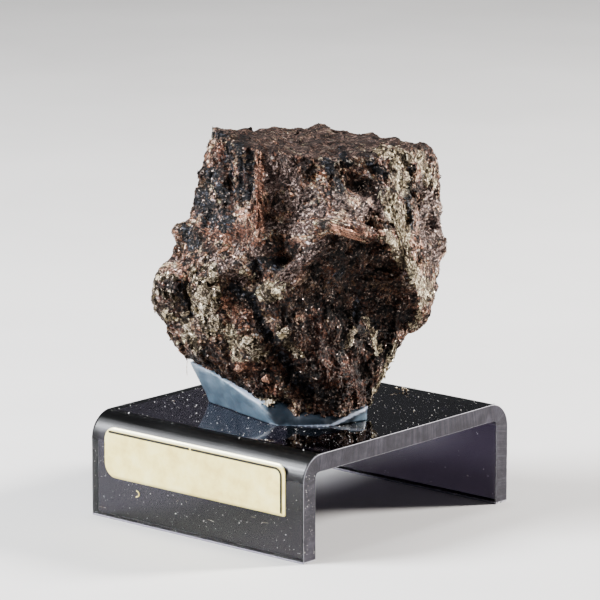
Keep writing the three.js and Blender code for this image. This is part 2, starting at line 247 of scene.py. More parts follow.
# Marks on the stone's front: from across, up, to across, up, and half their width.
MARKS = {
    "brassy": [
        (-24.4, 20.4, -24.8, 16.6, 0.6), (-23.6, 22.0, -20.4, 21.6, 0.7), (-22.2, 15.4, -19.2, 14.4, 0.9),
        (-22.8, 19.2, -22.4, 18.4, 0.6), (-17.9, 22.4, -18.0, 17.6, 0.7), (-17.8, 22.8, -15.2, 23.2, 0.9),
        (-14.7, 22.6, -14.0, 18.6, 0.9), (-17.4, 16.8, -14.4, 16.8, 0.9), (-15.6, 14.8, -14.4, 13.0, 1.6),
        (-8.6, 10.6, -7.2, 9.6, 1.8), (-3.6, 12.8, -2.0, 12.2, 0.6), (-1.8, 10.4, -0.2, 8.8, 0.7),
        (8.2, 13.0, 8.2, 10.6, 0.8), (-6.2, 0.6, -4.9, 1.2, 1.1), (-1.0, 15.2, 0.2, 14.8, 0.5),
        (13.0, 42.6, 17.2, 41.2, 1.5), (-18.6, 12.0, -17.0, 9.6, 1.0), (-16.4, 21.0, -15.2, 18.2, 0.9),
    ],
    "pale": [
        (14.8, 41.5, 16.8, 36.5, 1.7), (14.6, 34.6, 16.2, 31.8, 1.8), (16.0, 33.0, 17.2, 28.6, 1.2),
        (14.0, 28.6, 18.5, 22.1, 1.3), (18.5, 22.1, 21.2, 18.9, 1.3), (21.2, 18.9, 18.7, 13.6, 0.9),
        (15.3, 10.4, 11.8, 0.0, 0.7), (-5.8, 19.3, -4.0, 19.6, 1.8), (-12.0, 13.2, -10.3, 8.2, 0.8),
        (10.8, 14.6, 12.8, 10.0, 0.8), (-9.4, 22.6, -8.6, 21.6, 0.6), (19.6, 41.4, 21.6, 37.0, 1.0),
    ],
    "blueblack": [
        (-11.6, 43.4, -11.4, 36.0, 0.7), (-10.0, 43.0, -9.9, 35.6, 0.6), (-8.4, 41.5, -8.2, 34.6, 0.8),
        (-16.8, 34.5, -13.0, 30.8, 2.2), (17.9, 39.6, 17.8, 29.3, 0.8), (4.2, 40.3, 6.6, 36.2, 0.7),
        (-7.6, 23.6, -3.6, 24.0, 1.1), (11.5, 14.2, 11.5, 13.2, 1.2), (9.2, 16.8, 9.4, 15.6, 1.0),
        (-8.3, 18.6, -5.3, 11.9, 0.9), (-5.3, 11.9, -1.7, 6.4, 0.9), (-1.7, 6.4, 1.7, 2.8, 1.0),
        (-18.9, 22.4, -18.3, 15.6, 0.8), (5.0, 21.0, 7.0, 23.0, 0.5), (-10.6, 20.0, -8.8, 18.8, 0.9),
        (-15.0, 45.2, -12.4, 45.0, 0.6), (-19.6, 30.6, -17.6, 27.0, 0.9), (6.4, 41.8, 7.6, 40.2, 0.7),
        (11.6, 40.2, 14.0, 38.4, 0.9), (-14.6, 38.8, -13.4, 36.0, 1.3),
    ],
    # Painted shade, with darker rock: the scoop, under the salmon lip, the low front, other recesses.
    "dark_and_painted_shade": [
        (4.5, 24.5, 14.0, 21.8, 3.1), (6.0, 21.0, 14.5, 17.0, 4.4), (6.5, 14.5, 12.5, 10.0, 3.6),
        (3.0, 12.0, 8.0, 3.5, 4.0), (-1.5, 6.0, 4.0, 1.5, 2.4), (-4.5, 16.5, 2.5, 18.5, 2.0),
        (-16.5, 9.5, -11.0, 4.5, 1.8), (-20.6, 18.2, -19.6, 15.2, 1.4), (-7.0, 22.6, -1.5, 26.6, 1.2),
        (-6.0, 5.0, -1.0, 9.0, 1.6), (8.5, 26.4, 13.0, 25.6, 1.2), (8.6, 37.8, 12.6, 35.4, 1.1),
        (-21.6, 19.6, -20.4, 16.8, 2.4), (-16.4, 20.6, -16.0, 18.4, 0.7), (-9.4, 43.6, -9.0, 36.0, 1.3),
        (-17.0, 40.0, -16.0, 36.0, 1.0), (-12.8, 41.0, -12.2, 33.0, 1.3), (1.2, 10.5, 1.5, 5.0, 2.2),
        (-4.0, 9.6, -1.6, 12.6, 2.0), (-22.6, 16.6, -21.4, 14.0, 1.3), (4.0, 27.0, 13.0, 26.2, 1.1),
        (1.0, 25.4, 5.0, 26.6, 1.0), (-14.0, 5.0, -3.0, 0.6, 1.0), (-18.4, 29.2, -14.8, 26.6, 0.9),
        (-18.2, 33.0, -17.0, 37.0, 0.7),
    ],
    "rust": [
        (-6.7, 41.0, -6.7, 27.9, 0.8), (-13.8, 29.6, -9.0, 28.3, 2.0), (4.4, 29.8, 12.8, 28.2, 0.5),
        (-10.2, 7.4, -4.3, 2.8, 1.3), (-3.2, 8.8, 0.5, 8.0, 1.3), (-13.4, 42.6, -13.4, 36.5, 1.1),
        (2.5, 14.0, 5.5, 5.0, 2.2), (-16.4, 19.2, -15.4, 20.0, 0.5), (8.0, 8.0, 9.6, 3.0, 1.4),
        (-12.0, 18.0, -10.6, 15.6, 1.0),
    ],
    "pink": [
        (-4.0, 38.5, 2.0, 32.0, 3.6), (3.8, 27.5, -2.8, 21.4, 1.2), (21.0, 36.0, 22.4, 25.5, 2.4),
        (6.5, 33.5, 12.5, 33.5, 2.2), (-5.4, 30.0, 1.5, 29.6, 1.5), (-10.0, 26.6, -6.0, 24.6, 1.6),
        (-13.2, 24.4, -10.0, 21.4, 1.6),
    ],
}


# Ribs and grooves on the front: from across, up, to across, up, half width, height.
STROKES = [
    (3.6, 30.0, 9.0, 29.4, 0.8, 1.1), (9.0, 29.4, 14.2, 27.8, 0.8, 1.1),
    (4.2, 27.6, 13.8, 26.0, 0.9, -1.6), (3.8, 27.4, -2.9, 21.4, 0.9, 1.3),
    (-6.7, 42.5, -6.6, 28.0, 0.8, 0.8), (-8.3, 40.8, -8.0, 34.0, 0.6, -0.8),
    (-9.9, 40.5, -9.6, 33.5, 0.5, -0.6), (-11.6, 39.0, -11.2, 35.0, 0.5, -0.5),
    (-18.8, 22.6, -18.3, 15.5, 0.45, -0.9), (-8.3, 18.6, -5.3, 11.9, 0.6, -0.8),
    (-5.3, 11.9, -1.7, 6.4, 0.6, -0.9), (-1.7, 6.4, 1.7, 2.8, 0.6, -0.8),
    (17.9, 36.8, 17.7, 29.3, 0.5, -0.8), (-4.0, 41.6, -2.5, 40.0, 1.6, 0.9),
    (-14.0, 15.6, -11.6, 17.8, 0.5, -0.5), (-10.3, 11.8, -8.4, 12.6, 0.5, -0.6),
    (-4.6, 12.4, -2.6, 13.4, 0.5, -0.5), (11.9, 39.5, 12.8, 29.5, 0.6, -0.35),
    (-13.5, 22.7, -8.2, 23.1, 1.3, 1.2), (-6.4, 28.6, 2.8, 29.8, 0.9, 0.8),
    (-3.6, 20.6, -1.6, 16.6, 0.8, 0.7), (-3.9, 26.6, -2.4, 26.0, 1.7, 1.5),
    (-17.9, 22.4, -18.0, 17.6, 0.5, 0.5), (-14.7, 22.6, -14.0, 18.6, 0.6, 0.5),
    (-20.8, 28.8, -21.6, 27.0, 1.5, 2.2), (-17.4, 38.4, -18.2, 36.0, 1.3, 1.6),
    (23.0, 32.5, 23.6, 26.8, 1.7, 1.0), (20.4, 15.6, 19.6, 13.4, 1.2, 0.9),
    (12.6, 45.4, 20.0, 43.4, 1.6, 1.3), (-3.0, 46.6, 3.4, 46.8, 1.5, 1.1),
    (-9.4, 46.0, -5.0, 46.3, 1.2, 0.9),
]

FILLED = [  # grooves of the plain model that broken rock fills: from, to, half width
    (-6.0, 41.4, -4.2, 38.0, 2.4), (-4.2, 38.0, -2.2, 31.5, 3.0), (-2.2, 31.5, -3.2, 24.5, 2.9),
    (9.0, 39.0, 12.5, 36.0, 2.2), (11.5, 32.5, 13.4, 30.8, 1.8), (-6.2, 13.0, -4.6, 10.4, 1.3),
]
FILLING = 220  # rounds of smoothing


def from_line(seen, ends):
    """How far each point is from a line, whose ends are given as across, up, across, up."""
    start, end = np.array(ends[:2]), np.array(ends[2:])
    share = ((seen - start) @ (end - start)) / ((end - start) @ (end - start))
    nearest = start + np.clip(share, 0, 1)[:, None] * (end - start)
    return np.linalg.norm(seen - nearest, axis=1)


def stroke_height(seen):
    """How far the ribs and grooves raise or lower each point."""
    return sum(rise * np.exp(-(from_line(seen, ends) / half_width) ** 2)
               for *ends, half_width, rise in STROKES)


def marked(seen, marks, wobble=0.0):
    """How strongly each point lies in some marks, 1 inside and 0 beyond their soft edges."""
    strongest = np.zeros(len(seen))
    for *ends, half_width in marks:
        distance = from_line(seen, ends) + wobble
        strongest = np.maximum(strongest, np.clip(1.5 - distance / half_width, 0, 1))
    return strongest


DULL_TOP_FROM, DULL_TOP_FADE = 40, 3  # how high the dull top, in painted shade, starts, and its soft edge


def store_zones(stone):
    """The stone's colour zones as numbers from 0 to 1 on its points, painted shade among them."""
    points, facing = surface(stone)
    to_front = facing_front(facing)
    seen = seen_from_front(points)
    wobble = layered(points, (0.9, 2.2, 3.0), (0.5, 0.9, 8.0))
    for number, (name, marks) in enumerate(MARKS.items()):
        salt = 9 * number
        elsewhere = layered(points, (1.0, 8.5, 20.0 + salt), (0.5, 3.2, 50.0 + salt))
        patches = np.clip(2.6 * (elsewhere - 0.22), 0, 1) * (1 - to_front)
        store(stone, **{name: np.maximum(marked(seen, marks, wobble) * to_front, patches)})
    # The dull top faces up: rougher, and painted darker there as painted shade.
    high = np.clip((in_stone_frame(points)[:, 2] - DULL_TOP_FROM) / DULL_TOP_FADE, 0, 1)
    store(stone, dull=np.clip(2.5 * (facing[:, 2] - 0.35), 0, 1) * high)


# ---- Materials ----

class Shader:
    """A material's nodes, built by short calls. Sizes are in millimetres."""

    def __init__(self, name):
        self.material = bpy.data.materials.new(name)
        self.material.use_nodes = True
        self.tree = self.material.node_tree
        self.tree.nodes.clear()
        self.output = self.add("OutputMaterial")
        self.surface = self.add("BsdfPrincipled")
        self.put(self.output.inputs["Surface"], self.surface.outputs[0])
        place = self.add("TexCoord").outputs["Object"]
        self.place = self.vector("SCALE", place, Scale=1 / MM)

    def put(self, socket, value):
        """Links a value to a socket or sets it there. A colour is three numbers."""
        if isinstance(value, bpy.types.NodeSocket):
            self.tree.links.new(value, socket)
        else:
            socket.default_value = (*value, 1) if socket.type == "RGBA" else value

    def put_all(self, node, inputs):
        for name, value in inputs.items():
            self.put(node.inputs[name.replace("_", " ")], value)
        return node

    def add(self, kind, settings=None, **inputs):
        node = self.tree.nodes.new("ShaderNode" + kind)
        for name, value in (settings or {}).items():
            setattr(node, name, value)
        return self.put_all(node, inputs)

    def fill(self, node, values, sockets=(0, 1, 2)):
        """Gives values to a node's sockets, by their numbers."""
        for number, value in zip(sockets, values):
            self.put(node.inputs[number], value)
        return node

    def vector(self, operation, *values, **inputs):
        node = self.add("VectorMath", {"operation": operation}, **inputs)
        return self.fill(node, values).outputs[0]

    def maths(self, operation, *values):
        return self.fill(self.add("Math", {"operation": operation}), values).outputs[0]

    def product(self, first, second):
        return self.maths("MULTIPLY", first, second)

    def weighted(self, value, weight, rest):
        """A value by its weight, added to the rest."""
        return self.maths("MULTIPLY_ADD", value, weight, rest)

    def stretched(self, scale, turn=(0, 0, 0)):
        return self.add("Mapping", None, Vector=self.place, Scale=scale, Rotation=turn).outputs[0]

    def noise(self, size, detail=3.0, place=None, rough=0.55):
        return self.add("TexNoise", None, Vector=place or self.place, Scale=1 / size,
                        Detail=detail, Roughness=rough).outputs["Fac"]

    def cells(self, size, place=None, feature="F1"):
        return self.add("TexVoronoi", {"feature": feature}, Vector=place or self.place,
                        Scale=1 / size)

    def cell_colour(self, size, place=None):
        """A colour of its own for each cell."""
        return self.cells(size, place).outputs["Color"]

    def ramp(self, value, *stops):
        node = self.add("ValToRGB", None, Fac=value)
        marks = node.color_ramp.elements
        while len(marks) < len(stops):
            marks.new(1.0)
        for mark, (position, colour) in zip(marks, stops):
            mark.position = position
            mark.color = (*colour, 1)
        return node.outputs[0]

    def span(self, value, low, high, to_low=0.0, to_high=1.0):
        return self.add("MapRange", {"interpolation_type": "SMOOTHSTEP"}, Value=value,
                        From_Min=low, From_Max=high, To_Min=to_low, To_Max=to_high).outputs[0]

    def mix(self, share, first, second, how="MIX"):
        """Two colours mixed."""
        node = self.add("Mix", {"data_type": "RGBA", "blend_type": how})
        return self.fill(node, (share, first, second), (0, 6, 7)).outputs[2]

    def times(self, colour, tint):
        return self.mix(1.0, colour, tint, "MULTIPLY")

    def blend(self, share, first, second):
        """Two numbers mixed."""
        node = self.add("Mix", {"data_type": "FLOAT"})
        return self.fill(node, (share, first, second), (0, 2, 3)).outputs[0]

    def attribute(self, name):
        return self.add("Attribute", {"attribute_name": name}).outputs["Fac"]

    def channel(self, colour, number):
        return self.add("SeparateColor", None, Color=colour).outputs[number]

    def tilt(self, *fields):
        """The surface's normal, tilted at random for each cell of (colour, strength) fields."""
        normal = self.add("NewGeometry").outputs["Normal"]
        for colour, strength in fields:
            turn = self.vector("SUBTRACT", colour, (0.5, 0.5, 0.5))
            normal = self.vector("ADD", normal, self.vector("SCALE", turn, Scale=strength))
        return self.vector("NORMALIZE", normal)

    def bump(self, height, distance, **normal):
        return self.add("Bump", None, Height=height, Distance=distance * MM, **normal).outputs[0]

    def done(self, **inputs):
        self.put_all(self.surface, inputs)
        return self.material


GRAIN = 0.6  # how wide the grains in the stone's material are


def stone_material():
    s = Shader("stone")
    grain_place = s.stretched((0.6, 1.7, 1.25), (0.9, 0.5, 0.3))
    chip = s.cell_colour(1.4, s.stretched((1.0, 1.3, 0.7), (0.4, 0.2, 0.9)))
    grain = s.cell_colour(GRAIN, grain_place)
    strand = s.cell_colour(0.5, s.stretched((1.6, 0.5, 1.5), (0.2, 1.1, 2.1)))
    speck = s.cell_colour(0.27)
    edge = s.noise(1.0, 4.0)
    streak = s.noise(0.7, 4.0, s.stretched((1.5, 1.5, 0.4), (0.7, 0.5, 0.0)), 0.6)
    gap = s.cells(GRAIN, grain_place, "DISTANCE_TO_EDGE").outputs["Distance"]
    crack = s.span(s.maths("ABSOLUTE", s.maths("SUBTRACT", streak, 0.5)), 0.0, 0.03, 0.2, 1.0)
    groove = s.product(s.span(gap, 0.0, 0.14, 0.15, 1.0), crack)

    tone = s.product(s.attribute("block"), 0.28)
    tone = s.weighted(s.attribute("chip"), 0.3, tone)
    tone = s.weighted(s.channel(grain, 1), 0.44, tone)
    tone = s.weighted(s.channel(speck, 1), 0.16, tone)
    tone = s.weighted(s.noise(4.0, 5.0), 0.6, s.maths("SUBTRACT", tone, 0.41))
    rock = s.ramp(tone, (0.24, (0.008, 0.0045, 0.0035)), (0.38, (0.055, 0.029, 0.021)),
                  (0.51, (0.185, 0.105, 0.08)), (0.64, (0.41, 0.28, 0.225)),
                  (0.8, (0.8, 0.68, 0.6)))
    night = s.ramp(s.channel(grain, 0), (0.3, (0.002, 0.002, 0.0026)),
                   (0.75, (0.012, 0.0125, 0.018)), (1.0, (0.12, 0.125, 0.15)))
    facet = s.weighted(s.attribute("chip"), 0.5, s.product(s.channel(grain, 0), 0.5))
    facet = s.blend(s.attribute("clean"), facet, s.attribute("chip"))
    hue = s.span(s.noise(3.2, 4.0, s.stretched((0.8, 1.2, 1), (1, 2, 3))), 0.38, 0.62)
    rock = s.mix(hue, s.times(rock, (1.08, 0.93, 0.92)), s.times(rock, (0.92, 0.98, 0.93)))
    stain = s.ramp(s.channel(grain, 2), (0.05, (1, 0.76, 0.56)), (0.4, (0.96, 0.93, 0.9)),
                   (0.7, (0.88, 0.92, 0.72)), (0.95, (0.78, 0.87, 1)))
    rock = s.times(rock, stain)
    rust = s.ramp(facet, (0.1, (0.035, 0.013, 0.007)), (0.5, (0.16, 0.063, 0.038)),
                  (0.8, (0.56, 0.29, 0.19)), (1.0, (0.74, 0.44, 0.32)))
    plate = s.blend(0.5, facet, s.channel(chip, 0))
    brass = s.ramp(plate, (0.2, (0.02, 0.015, 0.01)), (0.45, (0.115, 0.092, 0.064)),
                   (0.6, (0.42, 0.345, 0.25)), (0.85, (0.87, 0.78, 0.64)))
    pale = s.ramp(facet, (0.15, (0.035, 0.022, 0.014)), (0.4, (0.22, 0.165, 0.11)),
                  (0.55, (0.5, 0.41, 0.27)), (0.75, (0.9, 0.81, 0.6)))
    pink = s.ramp(s.channel(strand, 1), (0.2, (0.05, 0.029, 0.024)),
                  (0.6, (0.18, 0.116, 0.097)), (0.95, (0.51, 0.39, 0.35)))
    dull = s.ramp(s.channel(strand, 0), (0.1, (0.01, 0.0058, 0.0046)),
                  (0.8, (0.068, 0.04, 0.032)), (0.95, (0.19, 0.125, 0.104)))

    def shown(name, pick, often):
        """How far a zone's colour shows: in some of its grains, and more towards its middle."""
        chance = s.weighted(pick, 0.55, s.product(edge, 0.5))
        often_here = s.product(s.attribute(name), often)
        return s.span(s.maths("SUBTRACT", often_here, chance), -0.03, 0.05)

    colour = s.mix(shown("pink", s.channel(chip, 2), 0.7), rock, pink)
    # Painted shade: the upward-facing top takes the darker dull colour.
    colour = s.mix(s.product(s.attribute("dull"), 0.88), colour, dull)
    # Painted shade: where the zone above is strong, the colour is dimmed, over darker rock.
    in_shade = s.maths("ADD", s.attribute("dark_and_painted_shade"), s.weighted(edge, 0.8, -0.4))
    colour = s.mix(shown("rust", s.channel(strand, 2), 0.8), colour, rust)
    colour = s.mix(s.span(in_shade, 0.1, 0.7), colour, s.times(colour, (0.2, 0.14, 0.115)))
    colour = s.mix(shown("blueblack", s.channel(grain, 2), 0.8), colour, night)
    colour = s.mix(shown("pale", s.channel(chip, 0), 0.85), colour, pale)
    brassy = shown("brassy", s.channel(chip, 1), 0.9)
    colour = s.mix(brassy, colour, brass)
    # Painted glints: a few speck cells are painted lighter, as well as glossy and metallic.
    glint = s.product(s.span(s.channel(speck, 0), 0.86, 0.88),
                      s.span(s.attribute("dull"), 0.0, 0.6, 1.0, 0.0))
    colour = s.mix(s.product(glint, 0.45), colour, (0.6, 0.48, 0.41))
    # Painted shade: near black deep in hollows; also along the gaps and cracks between grains.
    hollow = s.span(s.attribute("hollow"), 0.05, 0.8, 1.0, 0.03)
    colour = s.mix(s.product(hollow, groove), (0.0015, 0.001, 0.001), colour)

    gloss = s.blend(s.channel(grain, 2), 0.42, 0.75)
    gloss = s.blend(s.attribute("dull"), gloss, 0.9)
    metal = s.maths("MAXIMUM", s.product(brassy, 0.8), s.product(glint, 0.5))
    normal = s.tilt((chip, 0.3), (grain, 0.6), (strand, 0.3), (speck, 0.12))
    rough = s.weighted(groove, 1.2, s.weighted(s.noise(0.3, 4.0), 0.5, streak))
    return s.done(Base_Color=colour, Roughness=s.blend(glint, gloss, 0.25), Metallic=metal,
                  Normal=s.bump(rough, 0.07, Normal=normal), Specular_IOR_Level=0.3)


def crystal_material():
    s = Shader("brassy_crystal")
    mottle = s.noise(0.45, 3.0)
    tone = s.weighted(mottle, 0.5, s.product(s.attribute("chip"), 0.6))
    colour = s.ramp(tone, (0.28, (0.02, 0.014, 0.008)), (0.42, (0.11, 0.085, 0.045)),
                    (0.6, (0.36, 0.3, 0.2)), (0.85, (0.68, 0.61, 0.49)))
    return s.done(Base_Color=colour, Metallic=0.5, Roughness=s.span(mottle, 0.3, 0.7, 0.25, 0.45),
                  Normal=s.bump(s.noise(0.25, 3.0), 0.03))


# ---- The stone ----

STONE_VOXEL = 0.31
FACET_EDGE = math.radians(24)  # broken edges sharper than this stay crisp
BREAKS = [  # block size, how strongly it stands out, stretch of space along across, away, up
    (4.2, 0.7, (1.0, 1.0, 0.75)), (2.3, 0.6, (0.7, 1.2, 1.2)), (1.1, 0.3, (1.4, 0.8, 0.7)),
]
PIT_SIZE, PIT_DEPTH = 3.0, 0.2


def stone_relief(points, normals):
    """How far the broken grains stand out of the stone, how deep in a hollow each point is, and
    the numbers of the larger and smaller block that it is on."""
    own = in_stone_frame(points)
    height = np.zeros(len(points))
    numbers = []
    even = np.clip(0.85 + 0.7 * soft_noise(points, 8.0, 15.0), 0.45, 1.2)
    even *= 1 - 0.35 * np.clip(2 * normals[:, 2] - 0.6, 0, 1)
    for salt, (size, strength, stretch) in enumerate(BREAKS):
        block, number = broken(own * stretch, size, 1.0 + salt)
        height += strength * even * block
        numbers.append(number)
    pits = np.clip(soft_noise(points, PIT_SIZE, 31.0) - 0.3, 0, 0.4) / 0.4
    height -= PIT_DEPTH * pits
    strokes = stroke_height(seen_from_front(points)) * facing_front(normals)
    hollow = np.clip(0.3 * pits - 0.7 * height - 0.2 * strokes - 0.12, 0, 0.85)
    return height + strokes, hollow, numbers


def relax(piece, weights, rounds):
    """Smooths a mesh where the weights are high."""
    group = piece.vertex_groups.new(name="relaxed")
    levels = np.round(10 * weights).astype(int)
    for level in range(1, 11):
        group.add(np.flatnonzero(levels == level).tolist(), level / 10, "REPLACE")
    smooth_out(piece, rounds, group.name)
    piece.vertex_groups.clear()


def make_stone():
    stone = merged_copy("chalcopyrite_stone", "stone")
    voxel_remesh(stone, STONE_VOXEL)
    points, _ = surface(stone)
    in_front = in_stone_frame(points)[:, 1] < 0
    relax(stone, marked(seen_from_front(points), FILLED) * in_front, FILLING)
    points, normals = surface(stone)
    height, hollow, numbers = stone_relief(points, normals)
    move_points(stone, points + normals * height[:, None])
    shade(stone.data, True)
    stone.data.set_sharp_from_angle(angle=FACET_EDGE)
    store(stone, hollow=hollow, block=numbers[1], chip=numbers[2], clean=np.zeros(len(points)))
    store_zones(stone)
    return finished(stone, stone_material(), "chalcopyrite_stone")


# ---- Crystals and flakes on the stone ----

ZONES = (*MARKS, "dull")


def angular_shapes(rng, count, corners):
    """Angular chips about 1 across from the middle, each the hull of random corners on a ball."""
    shapes = []
    for _ in range(count):
        work = bmesh.new()
        for corner in rng.normal(size=(corners, 3)):
            work.verts.new(corner / np.linalg.norm(corner))
        bmesh.ops.convex_hull(work, input=work.verts)
        work.verts.index_update()
        shapes.append((np.array([v.co[:] for v in work.verts]),
                       [[v.index for v in face.verts] for face in work.faces]))
        work.free()
    return shapes


def laid(rng, kinds, corners, places, normals, headings, sizes):
    """Chips of some kinds on a surface: along their heading, across it and out, by three sizes."""
    shapes = angular_shapes(rng, kinds, corners)
    parts = []
    for place, normal, heading, size in zip(places, normals, headings, sizes):
        along = np.cross(np.cross(normal, heading), normal)
        along /= np.linalg.norm(along)
        axes = np.array([along, np.cross(normal, along), normal])
        points, faces = shapes[rng.integers(len(shapes))]
        parts.append((place + (points * size) @ axes, faces))
    return parts


def tilted(rng, normals, amount):
    turned = normals + rng.normal(0, amount, normals.shape)
    return turned / np.linalg.norm(turned, axis=1)[:, None]


def streaks(rng, places, spread):
    """Headings that lie much the same way where they are close."""
    turn = 2.2 * soft_noise(places, 7.0, 70.0) + rng.normal(0, spread, len(places))
    return np.cos(turn)[:, None] * UP + np.sin(turn)[:, None] * ACROSS


def chip_piece(name, stone, parts, picked, extra, material=None):
    """The chips as one piece, with the stone's zones where each was laid, but for the extra."""
    piece = mesh_object(name, *joined(parts))
    counts = [len(points) for points, _ in parts]
    for zone in (*ZONES, "hollow", "block", "chip", "clean"):
        values = extra.get(zone, read(stone, zone)[picked])
        store(piece, **{zone: np.repeat(values, counts)})
    return finished(piece, material or stone.data.materials[0])


def only_in(zones):
    """Full strength in the zone named for each chip, and none in the others."""
    return {name: 1.5 * (np.array(zones) == name) for name in ZONES}


# The largest crystals on the front: across, up, half their width and height, how pale from 0 to 1.
LARGE_CRYSTALS = {
    "brassy": [
        (-16.8, 21.3, 1.2, 0.9, 0.7), (-14.8, 21.4, 0.7, 0.7, 0.6), (-18.6, 19.8, 0.3, 1.6, 0.9),
        (-16.0, 16.8, 1.5, 0.8, 0.8), (-14.4, 18.0, 0.6, 1.2, 0.75), (-17.3, 18.9, 0.6, 0.9, 0.2),
        (-20.7, 21.5, 1.1, 0.7, 0.6), (-21.0, 17.0, 0.5, 0.7, 0.8), (-19.0, 15.6, 1.1, 0.8, 0.3),
        (-15.7, 14.3, 0.6, 1.5, 0.75), (-14.5, 13.6, 0.6, 1.5, 0.85), (-11.9, 13.2, 0.6, 1.3, 0.4),
        (-11.2, 11.2, 0.6, 1.1, 0.55), (-10.6, 9.2, 0.6, 1.2, 0.7), (-8.5, 11.4, 1.2, 0.8, 0.8),
        (-2.6, 12.8, 1.1, 0.8, 0.25), (8.6, 12.7, 0.7, 0.7, 0.9), (8.2, 10.6, 0.6, 0.5, 0.9),
        (8.2, 15.1, 0.5, 0.4, 0.5), (-5.2, 18.4, 1.8, 1.3, 0.45), (-23.6, 19.2, 0.7, 0.9, 0.7),
        (-22.4, 14.6, 0.6, 0.8, 0.3), (-0.6, 10.0, 0.8, 0.9, 0.2), (-8.3, 9.4, 0.9, 0.8, 0.35),
        (-15.8, 19.3, 1.8, 2.3, 0.5), (-20.6, 18.4, 1.3, 1.5, 0.0),
    ],
    "rust": [
        (-10.2, 6.6, 1.0, 0.8, 0.9), (-9.6, 5.4, 0.5, 0.7, 0.5), (-5.6, 4.9, 1.0, 0.9, 0.9),
        (-5.4, 4.0, 0.5, 0.7, 0.6), (-15.9, 19.6, 0.5, 0.3, 0.9), (-12.2, 16.8, 0.9, 1.1, 0.7),
        (-10.6, 14.6, 0.5, 0.5, 0.6), (-12.6, 26.4, 0.9, 0.7, 0.8),
    ],
}


def spots_on_front(piece, spots):
    """The numbers of the points of a piece's front that lie nearest some spots (across, up)."""
    places, normals = surface(piece)
    seen = seen_from_front(places)
    out_of_sight = 100.0 * (facing_front(normals) < 0.5)
    return np.array([np.argmin(np.linalg.norm(seen - spot, axis=1) + out_of_sight)
                     for spot in spots])


def make_large_crystals(stone):
    rng = np.random.default_rng(15)
    places, normals = surface(stone)
    rows = np.concatenate(list(LARGE_CRYSTALS.values()))
    zones = np.repeat(list(LARGE_CRYSTALS), [len(group) for group in LARGE_CRYSTALS.values()])
    picked = spots_on_front(stone, rows[:, :2])
    size = np.stack([rows[:, 2], rows[:, 3], 0.45 * rows[:, 2:4].min(1) + 0.15], axis=1)
    headings = ACROSS + rng.normal(0, 0.15, (len(rows), 3))
    outward = tilted(rng, normals[picked], 0.15)
    parts = laid(rng, 24, 11, places[picked], outward, headings, size)
    extra = {**only_in(zones), "hollow": np.zeros(len(rows)), "chip": 0.15 + 0.9 * rows[:, 4],
             "clean": np.full(len(rows), 0.7)}
    chip_piece("large_crystals", stone, parts, picked, extra)


CRYSTALS, FLAKES, GRAINS = 520, 1200, 20000
LARGEST_CRYSTAL = 0.8  # the most that half its length, width or height can be
LARGEST_GRAIN = 0.5  # the most that a grain can be, before it is drawn out along its streak
CLEAR_OF_STAND = 0.8  # no flakes or grains lie lower than this above the stand's top


def make_crystals(stone):
    """Flat-faced brassy crystals, in the brassy zones."""
    rng = np.random.default_rng(11)
    places, normals = surface(stone)
    chance = np.clip(read(stone, "brassy") - 0.25, 0, 1) * (places[:, 2] > STAND_TOP + 1)
    picked = rng.choice(len(places), CRYSTALS, replace=False, p=chance / chance.sum())
    size = rng.gamma(4.0, 0.2, len(picked))[:, None] * rng.uniform(0.35, 1.0, (len(picked), 3))
    size = np.minimum(size * [1.15, 0.75, 0.5], LARGEST_CRYSTAL)
    outward = tilted(rng, normals[picked], 0.25)
    headings = rng.normal(size=(len(picked), 3))
    centres = places[picked] - 0.25 * size[:, :1] * normals[picked]
    parts = laid(rng, 16, 8, centres, outward, headings, size)
    extra = {"brassy": np.full(len(picked), 1.5), "hollow": np.zeros(len(picked)),
             "chip": rng.uniform(0, 1, len(picked))}
    chip_piece("brassy_crystals", stone, parts, picked, extra, crystal_material())


def make_flakes(stone):
    """Long thin flakes of rock all over, lying much the same way where they are close."""
    rng = np.random.default_rng(12)
    places, normals = surface(stone)
    picked = rng.choice(len(places), FLAKES, replace=False)
    picked = picked[places[picked, 2] > STAND_TOP + CLEAR_OF_STAND]
    count = len(picked)
    size = rng.gamma(6.0, 0.065, count)[:, None] * rng.uniform(0.7, 1.2, (count, 3))
    headings = streaks(rng, places[picked], 0.35)
    outward = tilted(rng, normals[picked], 0.1)
    parts = laid(rng, 16, 9, places[picked], outward, headings, size * [1.3, 0.45, 0.15])
    extra = {"chip": rng.uniform(0, 1, count), "hollow": 0.5 * read(stone, "hollow")[picked]}
    chip_piece("rock_flakes", stone, parts, picked, extra)


LIP_CLEAR = (4.6, 29.8, 13.4, 28.6, 1.0)  # a mark where no grains lie, on the salmon lip


def make_grains(stone):
    """Small blocky grains half sunk in the rock, in streaks."""
    rng = np.random.default_rng(13)
    places, normals = surface(stone)
    chance = np.clip(1.2 - read(stone, "dull"), 0.2, 1)
    chance *= places[:, 2] > STAND_TOP + CLEAR_OF_STAND
    chance *= 1 - 0.7 * np.clip(read(stone, "brassy"), 0, 1)
    chance *= 1 - marked(seen_from_front(places), [LIP_CLEAR]) * (facing_front(normals) > 0.5)
    picked = rng.choice(len(places), GRAINS, replace=False, p=chance / chance.sum())
    count = len(picked)
    size = np.minimum(rng.gamma(4.0, 0.09, count), LARGEST_GRAIN)[:, None] * [1.7, 0.6, 0.5]
    headings = streaks(rng, places[picked], 0.45)
    outward = tilted(rng, normals[picked], 0.15)
    centres = places[picked] - 0.7 * size[:, 2:] * normals[picked]
    parts = laid(rng, 24, 6, centres, outward, headings, size)
    extra = {"chip": rng.uniform(0, 1, count), "hollow": 0.6 * read(stone, "hollow")[picked]}
    chip_piece("rock_grains", stone, parts, picked, extra)


SPLINTERS = [  # zone, from across, up, to across, up, half width, how many
    ("pink", 3.8, 27.4, -2.9, 21.4, 0.6, 120), ("pale", 15.4, 10.4, 11.9, 0.2, 0.5, 90),
    ("rust", -6.7, 41.0, -6.7, 28.5, 0.5, 90), ("pale", 14.8, 33.6, 18.6, 22.4, 0.7, 110),
]


